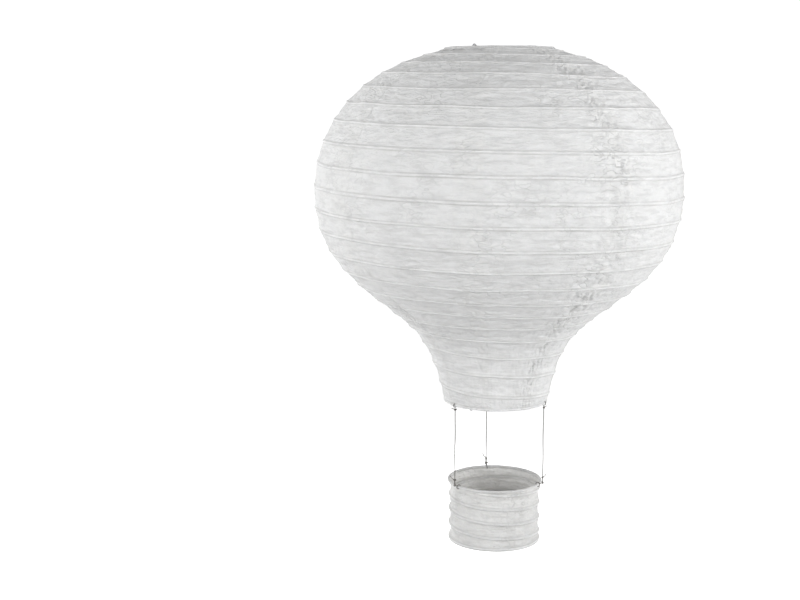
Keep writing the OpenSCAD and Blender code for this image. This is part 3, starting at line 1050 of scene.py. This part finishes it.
def basket_span(fall, turn, first, last):
    """Dip between the turns of the wire from first to last, and the distance to the nearest support."""
    k = np.floor(fall / BASKET_PITCH - turn)
    rim_fall, base_fall = BASKET_RIB_HIGH - RIM_Z, BASKET_RIB_HIGH - BASE_RING_Z
    low = np.where(k >= first, BASKET_PITCH * (np.minimum(k, last) + turn), rim_fall)
    high = np.where(k + 1 <= last, BASKET_PITCH * (np.maximum(k + 1, first) + turn), base_fall)
    half = np.maximum((high - low) / 2, 0.3)
    near = np.minimum(fall - low, high - fall)
    share = np.clip(near / half, 0.0, 1.0)
    sag = 0.85 * (2 * half / BASKET_PITCH) ** 1.3 * (1 - (1 - share) ** 2.2)
    return 0.5 * ridge(near) + sag, np.abs(near)


def basket_dip(azimuth, z):
    """How far the basket's paper sinks between its wire, the rim and the base."""
    turn = ((azimuth - BASKET_RIB_START) / 360.0) % 1.0
    part, whole = BASKET_TURNS % 1.0, int(BASKET_TURNS)
    fall = BASKET_RIB_HIGH - z
    last = np.where(turn <= part, whole, whole - 1)
    usual, distance = basket_span(fall, turn, 0, last)
    without_first, _ = basket_span(fall, turn, 1, last)
    without_last, _ = basket_span(fall, turn, 0, np.full_like(z, whole - 1))
    usual = usual + (without_first - usual) * (1 - smooth(turn / 0.06)) * (fall < 1.6 * BASKET_PITCH)
    closing = np.where(turn <= part, 1 - smooth((part - turn) / 0.06), 0.0)
    return usual + (without_last - usual) * closing * (fall > (whole - 1) * BASKET_PITCH), distance


def basket_relief(azimuth, z):
    """Creases and dents of the basket's paper, which is more crushed than the balloon's."""
    _, distance = basket_dip(azimuth, z)
    free = 1 - np.exp(-((distance / 1.9) ** 2))
    crush = creased(azimuth, z, 34, 5.2, 71)
    small = creased(azimuth, z, 70, 2.6, 73)
    dents = 0.42 * ripple(azimuth, z, 22, 7.0, 75)
    # One long slanting fold on the front
    across = (azimuth - 273.5) * math.radians(1.0) * WALL_R
    up = z - (RIM_Z - 26.0)
    along = across * 0.77 - up * 0.64
    away = across * 0.64 + up * 0.77
    fold = np.exp(-((along / 6.5) ** 4)) * np.exp(-((away / 0.75) ** 2))
    return free * (dents - 0.62 * crush - 0.36 * small - 0.85 * fold)


def wall_sheet(name, top, low, rows):
    """A belt of the basket's paper, lapped once, between two heights."""
    columns = 300
    turn = np.linspace(0.0, 360.0 + WALL_LAP, columns)
    z = np.linspace(top, low, rows)[:, None] + np.zeros((1, columns))
    wide = np.broadcast_to(SEAM + turn, z.shape)
    sag, distance = basket_dip(wide, z)
    start_lift = LAP_LIFT * (1 - smooth((turn - WALL_LAP) / 2.0))
    # The paper stays outside the base ring, and is free to sink only above it
    sunk = np.maximum(basket_relief(wide, z) - sag, -0.36 - 2.5 * smooth((z - WALL_SPLIT) / 3.0))
    top_tuck = np.clip((z - (RIM_Z - 1.8)) / 0.9, 0.0, 1.0)
    out = (start_lift + sunk) * (1 - top_tuck) - 0.25 * top_tuck
    outer = around_z(WALL_R + out, wide, z)
    inner = around_z(WALL_R + out - SHEET, wide, z)
    lap = np.broadcast_to(((turn < WALL_LAP) | (turn > 360.0)).astype(float), z.shape)
    marks = dict(rib_highlight_and_shade(distance), lap=lap, crush=np.full_like(lap, 0.15))
    piece = thin_sheet(name, outer, inner, BASKET_PAPER, marks)
    return piece


def fold_with_basket(piece):
    """Tie a piece to the basket's body and give it a mesh of its own."""
    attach(piece, "basket")
    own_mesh(piece)


def basket_wall_piece():
    """The basket's paper wall, from inside the rim to just above the base ring."""
    piece = wall_sheet("basket_paper_wall", WALL_TOP, WALL_SPLIT + 0.02, 146)
    fold_with_basket(piece)
    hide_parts("basket_wall")


def basket_foot_piece():
    """The wall's lowest belt, glued round the base ring, which it stays on when the basket folds."""
    piece = wall_sheet("basket_foot_paper", WALL_SPLIT - 0.02, WALL_LOW, 12)
    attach(piece, "basket_base")


def basket_wire_piece():
    """The spiral wire inside the basket's wall."""
    w = np.linspace(0.0, BASKET_TURNS, int(BASKET_TURNS * 96) + 1)
    azimuth = BASKET_RIB_START + 360.0 * w
    z = BASKET_RIB_HIGH - BASKET_PITCH * w
    path = around_z(np.full(len(w), WALL_R - SHEET - RIB_WIRE - OVER_WIRE), azimuth, z)
    piece = tubes("basket_rib_wire", [(path, RIB_WIRE, 8, False)], COATED)
    fold_with_basket(piece)
    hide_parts("basket_spiral")


def basket_hem_piece():
    """The paper that is turned over the rim wire."""
    columns = 300
    azimuth = np.arange(columns) * 360.0 / columns
    outer, inner, rows = [], [], 26
    for share in np.linspace(0.0, 1.0, rows):
        angle = math.radians(-72.0 + 318.0 * share)
        bumps = 0.10 * ripple(azimuth, np.full(columns, share * 5.0), 48, 1.0, 81)
        for radius, grid in ((RING_WIRE + 0.08 + SHEET, outer), (RING_WIRE + 0.08, inner)):
            reach = radius + np.maximum(bumps, -0.05)
            grid.append(around_z(RIM_R + reach * math.cos(angle), azimuth, RIM_Z + reach * math.sin(angle)))
    zero = np.zeros((rows, columns))
    # Painted shade: the first three rows, under the rim's outside where the hem meets the wall, take the
    # groove's dark colour.
    edge = np.zeros((rows, columns))
    edge[:3] = 0.55
    marks = {"rib": zero, "groove_shade": edge, "lap": zero, "crush": zero}
    piece = thin_sheet("basket_rim_paper", np.array(outer), np.array(inner), BASKET_PAPER, marks, True)
    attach(piece, "basket")


def basket_floor_piece():
    """The round paper floor, turned down a little at its edge and pulled slightly up in the middle."""
    columns, rings = 180, 30
    azimuth = np.arange(columns) * 360.0 / columns
    outer, inner = [], []
    for share in np.linspace(0.02, 1.0, rings):
        r = FLOOR_R * share
        bumps = 0.16 * ripple(azimuth, np.full(columns, r), max(int(30 * share), 1), 4.0, 91)
        z = BASE_Z + 0.3 + 0.5 * (1 - share**2) + bumps * share * (1 - share**8)
        outer.append(around_z(np.full(columns, r), azimuth, z))
        inner.append(around_z(np.full(columns, r), azimuth, z - SHEET))
    marks = {"rib": np.zeros((rings, columns))}
    piece = thin_sheet("basket_paper_floor", np.array(outer), np.array(inner), BASKET_PAPER, marks, True)
    stand_for(piece, "basket_base", "basket_floor")


basket_wall_piece()
basket_foot_piece()
basket_wire_piece()
basket_hem_piece()
basket_floor_piece()


# ---------------- stage and light

def stage_material():
    """Matt white board with a faint mottle."""
    n = Nodes("stage_board")
    mottle = n.remap(n.noise(1.5, 2.0), 0.3, 0.7)
    n.link(n.mix(mottle, (0.93, 0.93, 0.93), (0.96, 0.96, 0.96)), n.shader.inputs["Base Color"])
    n.shader.inputs["Roughness"].default_value = 0.9
    n.shader.inputs["Emission Color"].default_value = (1.0, 1.0, 1.0, 1.0)
    n.shader.inputs["Emission Strength"].default_value = 0.6
    return n.material


def make_stage():
    """A plain round floor that curves up into a wall on every side."""
    floor_z, wall_r, bend = BASE_Z * MM - 0.32, 3.4, 1.0
    profile = [(0.02, floor_z), (0.8, floor_z), (1.6, floor_z), (wall_r - bend, floor_z)]
    profile += [
        (wall_r - bend + bend * math.sin(a), floor_z + bend - bend * math.cos(a))
        for a in np.linspace(0.0, math.pi / 2, 17)[1:]
    ]
    profile.append((wall_r, 3.2))
    sides = 72
    azimuth = np.arange(sides) * 360.0 / sides
    points = np.concatenate([around_z(np.full(sides, r), azimuth, z) for r, z in profile])
    index = np.arange(len(points)).reshape(len(profile), sides)
    wide = np.concatenate([index, index[:, :1]], axis=1)
    faces = np.stack([wide[:-1, :-1], wide[:-1, 1:], wide[1:, 1:], wide[1:, :-1]], axis=-1).reshape(-1, 4)
    stage = to_mesh("stage", points / MM, faces, stage_material())
    stage.visible_diffuse = False
    stage.visible_transmission = False
    stage.visible_shadow = False


def area_light(name, location, target, size, power):
    """A soft white lamp at a place, turned to a target."""
    data = bpy.data.lights.new(name, "AREA")
    data.shape = "RECTANGLE"
    data.size, data.size_y = size
    data.energy = power
    light = bpy.data.objects.new(name, data)
    light.location = location
    direction = Vector(target) - Vector(location)
    light.rotation_euler = direction.to_track_quat("-Z", "Y").to_euler()
    light.visible_camera = False
    bpy.context.scene.collection.objects.link(light)


def make_light():
    """Soft key from the right front, strip from the left, weak fills above and behind, even surround."""
    world = bpy.data.worlds.new("world")
    world.use_nodes = True
    world.node_tree.nodes["Background"].inputs["Color"].default_value = (1.0, 1.0, 1.0, 1.0)
    world.node_tree.nodes["Background"].inputs["Strength"].default_value = 0.43
    bpy.context.scene.world = world
    middle = (0.0, 0.0, -0.14)
    area_light("key", (1.22, -0.93, -0.14), middle, (0.6, 0.6), 15.5)
    area_light("fill", (-0.1, -1.05, 0.85), middle, (0.7, 0.7), 2.2)
    area_light("back", (-0.45, 1.45, -0.25), middle, (0.7, 0.7), 5.0)
    area_light("strip", (-1.28, -0.64, -0.14), middle, (0.4, 0.7), 11.0)
    bpy.context.scene.view_settings.view_transform = "Standard"


make_stage()
make_light()
